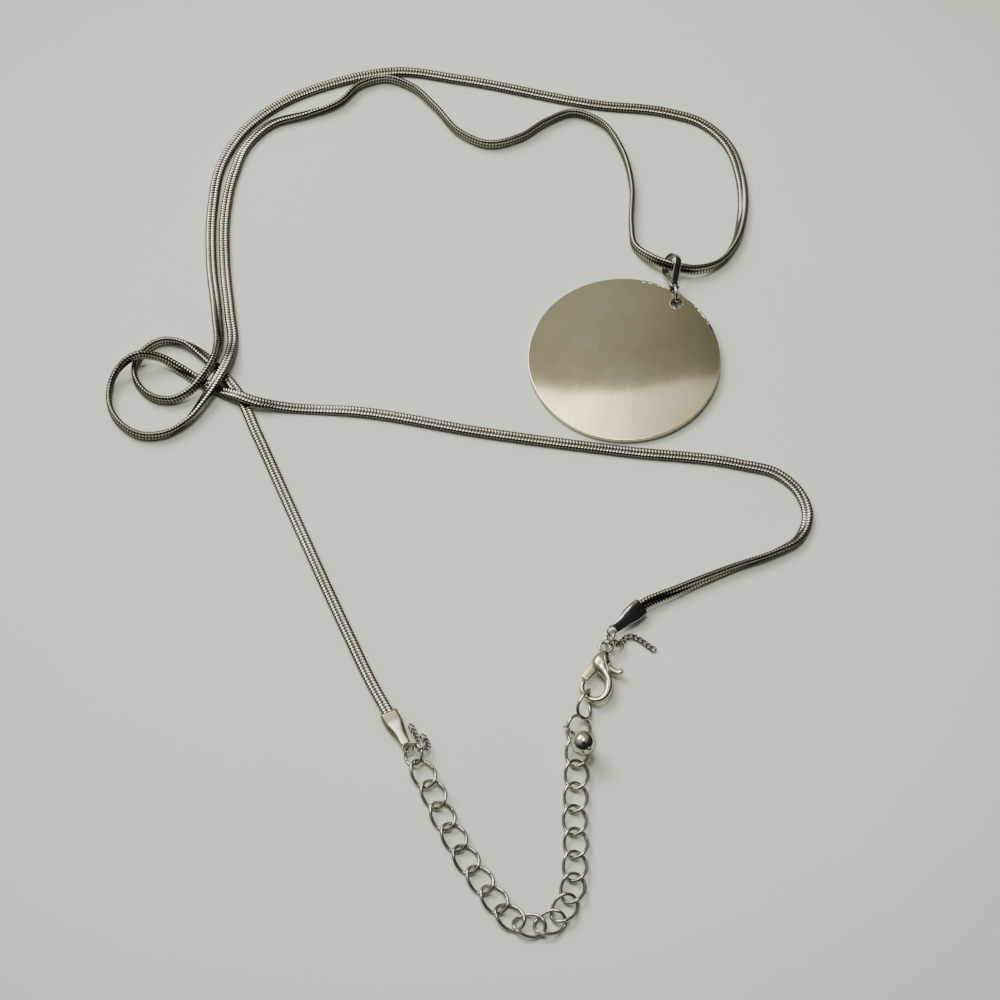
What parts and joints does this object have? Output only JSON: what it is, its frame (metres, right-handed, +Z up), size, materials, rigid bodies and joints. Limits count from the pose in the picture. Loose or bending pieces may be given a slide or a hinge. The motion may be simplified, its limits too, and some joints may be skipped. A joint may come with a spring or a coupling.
{
  "type": "pendant necklace",
  "caption": "Long snake chain necklace with a polished disc pendant on a bail, lobster clasp, open-link extender and a small drop bead, laid out in loops on a table.",
  "frame": {"origin": "the point of the table under the centre of the pendant disc", "axes": "+Z up from the table; +Y away from the clasp towards the bail and the top of the laid-out chain; +X to the right of the laid-out chain"},
  "size_m": [0.1258, 0.1808, 0.006],
  "materials": {
    "polished_steel": "polished rhodium-toned plating",
    "mirror_steel": "mirror polished bead",
    "disc_steel": "polished, faintly uneven sheet with fine scratches",
    "satin_steel": "satin, slightly warm",
    "chain_steel": "polished woven ridges, dark between them",
    "link_steel": "polished wire",
    "fine_chain_steel": "fine polished wire links",
    "dark_steel": "plain steel inside the clasp"
  },
  "bodies": {
    "necklace": {"snake_chain": "chain_steel", "left_end_cap": "satin_steel", "right_end_cap": "polished_steel"},
    "left_ring": {"left_ring": "polished_steel"},
    "right_ring": {"right_ring": "polished_steel"},
    "extender": {"extender_link_01": "link_steel", "extender_link_03": "link_steel", "extender_link_05": "link_steel", "extender_link_07": "link_steel", "extender_link_09": "link_steel", "extender_link_11": "link_steel", "extender_link_13": "link_steel", "extender_link_15": "link_steel", "extender_link_17": "link_steel", "extender_link_19": "link_steel"},
    "clasp": {"clasp_body": "polished_steel", "clasp_rivet": "dark_steel", "clasp_spring": "dark_steel"},
    "lever": {"clasp_lever": "polished_steel"},
    "bead_pin": {"bead_pin": "polished_steel"},
    "bead": {"bead": "mirror_steel"},
    "bail": {"bail": "polished_steel"},
    "jump_ring": {"pendant_jump_ring": "polished_steel"},
    "disc": {"pendant_disc": "disc_steel"},
    "left_tail": {"left_tail_chain": "fine_chain_steel"},
    "right_tail": {"right_tail_chain": "fine_chain_steel"},
    "link_02": {"extender_link_02": "link_steel"},
    "link_04": {"extender_link_04": "link_steel"},
    "link_06": {"extender_link_06": "link_steel"},
    "link_08": {"extender_link_08": "link_steel"},
    "link_10": {"extender_link_10": "link_steel"},
    "link_12": {"extender_link_12": "link_steel"},
    "link_14": {"extender_link_14": "link_steel"},
    "link_16": {"extender_link_16": "link_steel"},
    "link_18": {"extender_link_18": "link_steel"},
    "link_20": {"extender_link_20": "link_steel"}
  },
  "joints": [
    {"name": "left_ring_spin", "type": "hinge", "parent": "necklace", "child": "left_ring", "pos_m": [-0.03687, -0.07969, 0.00138], "axis": [-0.5707, -0.2958, 0.766], "continuous": true},
    {"name": "right_ring_spin", "type": "hinge", "parent": "necklace", "child": "right_ring", "pos_m": [-0.00384, -0.05776, 0.0016], "axis": [-0.8138, 0.2962, 0.5], "range_deg": [-5, 5]},
    {"name": "extender_lift", "type": "hinge", "parent": "necklace", "child": "extender", "pos_m": [-0.03638, -0.08063, 0.0011], "axis": [-0.8224, -0.5688, -0.0102], "range_deg": [0, 15]},
    {"name": "clasp_swing", "type": "hinge", "parent": "extender", "child": "clasp", "pos_m": [-0.00427, -0.05842, 0.0015], "axis": [-0.8224, -0.5688, -0.0102], "range_deg": [0, 2]},
    {"name": "lever_press", "type": "hinge", "parent": "clasp", "child": "lever", "pos_m": [-0.00507, -0.06299, 0.0015], "axis": [0, 0, 1], "range_deg": [0, 12], "stiffness_Nm_per_rad": 0.0002, "springref_deg": -17.19},
    {"name": "link_02_roll", "type": "hinge", "parent": "extender", "child": "link_02", "pos_m": [-0.0334, -0.0867, 0.001], "axis": [0.4384, -0.8988, 0], "range_deg": [-3, 3]},
    {"name": "link_04_roll", "type": "hinge", "parent": "extender", "child": "link_04", "pos_m": [-0.03, -0.0943, 0.0008], "axis": [0.454, -0.891, 0], "range_deg": [-3, 3]},
    {"name": "link_06_roll", "type": "hinge", "parent": "extender", "child": "link_06", "pos_m": [-0.0257, -0.1018, 0.0008], "axis": [0.5446, -0.8387, 0], "range_deg": [-3, 3]},
    {"name": "link_08_roll", "type": "hinge", "parent": "extender", "child": "link_08", "pos_m": [-0.0209, -0.1083, 0.0008], "axis": [0.7431, -0.6691, 0], "range_deg": [-3, 3]},
    {"name": "link_10_roll", "type": "hinge", "parent": "extender", "child": "link_10", "pos_m": [-0.0145, -0.1094, 0.0008], "axis": [0.9272, 0.3746, 0], "range_deg": [-3, 3]},
    {"name": "link_12_roll", "type": "hinge", "parent": "extender", "child": "link_12", "pos_m": [-0.0107, -0.1034, 0.0008], "axis": [0.2588, 0.9659, 0], "range_deg": [-3, 3]},
    {"name": "link_14_roll", "type": "hinge", "parent": "extender", "child": "link_14", "pos_m": [-0.0101, -0.0954, 0.0008], "axis": [0.0174, 0.9998, 0], "range_deg": [-3, 3]},
    {"name": "link_16_roll", "type": "hinge", "parent": "extender", "child": "link_16", "pos_m": [-0.01, -0.0872, 0.0008], "axis": [0.0349, 0.9994, 0], "range_deg": [-3, 3]},
    {"name": "link_18_roll", "type": "hinge", "parent": "extender", "child": "link_18", "pos_m": [-0.0096, -0.079, 0.00085], "axis": [0.0523, 0.9986, 0], "range_deg": [-3, 3]},
    {"name": "link_20_roll", "type": "hinge", "parent": "extender", "child": "link_20", "pos_m": [-0.00812, -0.0706, 0.002], "axis": [0.2419, 0.9703, 0], "range_deg": [-3, 3]},
    {"name": "bead_lift", "type": "hinge", "parent": "extender", "child": "bead_pin", "pos_m": [-0.01125, -0.07495, 0.00115], "axis": [0.0698, 0.9976, 0], "range_deg": [-12, 0]},
    {"name": "bead_spin", "type": "hinge", "parent": "bead_pin", "child": "bead", "pos_m": [-0.01095, -0.0751, 0.0014], "axis": [0.4635, -0.7417, 0.4848], "continuous": true},
    {"name": "bail_swing", "type": "hinge", "parent": "necklace", "child": "bail", "pos_m": [0.0092, 0.0199, 0.0024], "axis": [-0.8647, -0.0497, 0.4999], "range_deg": [0, 80]},
    {"name": "jump_ring_spin", "type": "hinge", "parent": "bail", "child": "jump_ring", "pos_m": [0.0097, 0.01371, 0.00205], "axis": [0.9934, 0.1149, 0], "continuous": true},
    {"name": "disc_turn", "type": "hinge", "parent": "bail", "child": "disc", "pos_m": [0.00988, 0.01211, 0.00137], "axis": [0, 0, 1], "range_deg": [-2, 5]},
    {"name": "left_tail_sway", "type": "hinge", "parent": "necklace", "child": "left_tail", "pos_m": [-0.036, -0.0786, 0.0022], "axis": [0, 0, 1], "range_deg": [-3, 3]},
    {"name": "right_tail_sway", "type": "hinge", "parent": "right_ring", "child": "right_tail", "pos_m": [-0.00351, -0.05863, 0.00265], "axis": [0, 0, 1], "range_deg": [-4, 4]}
  ]
}
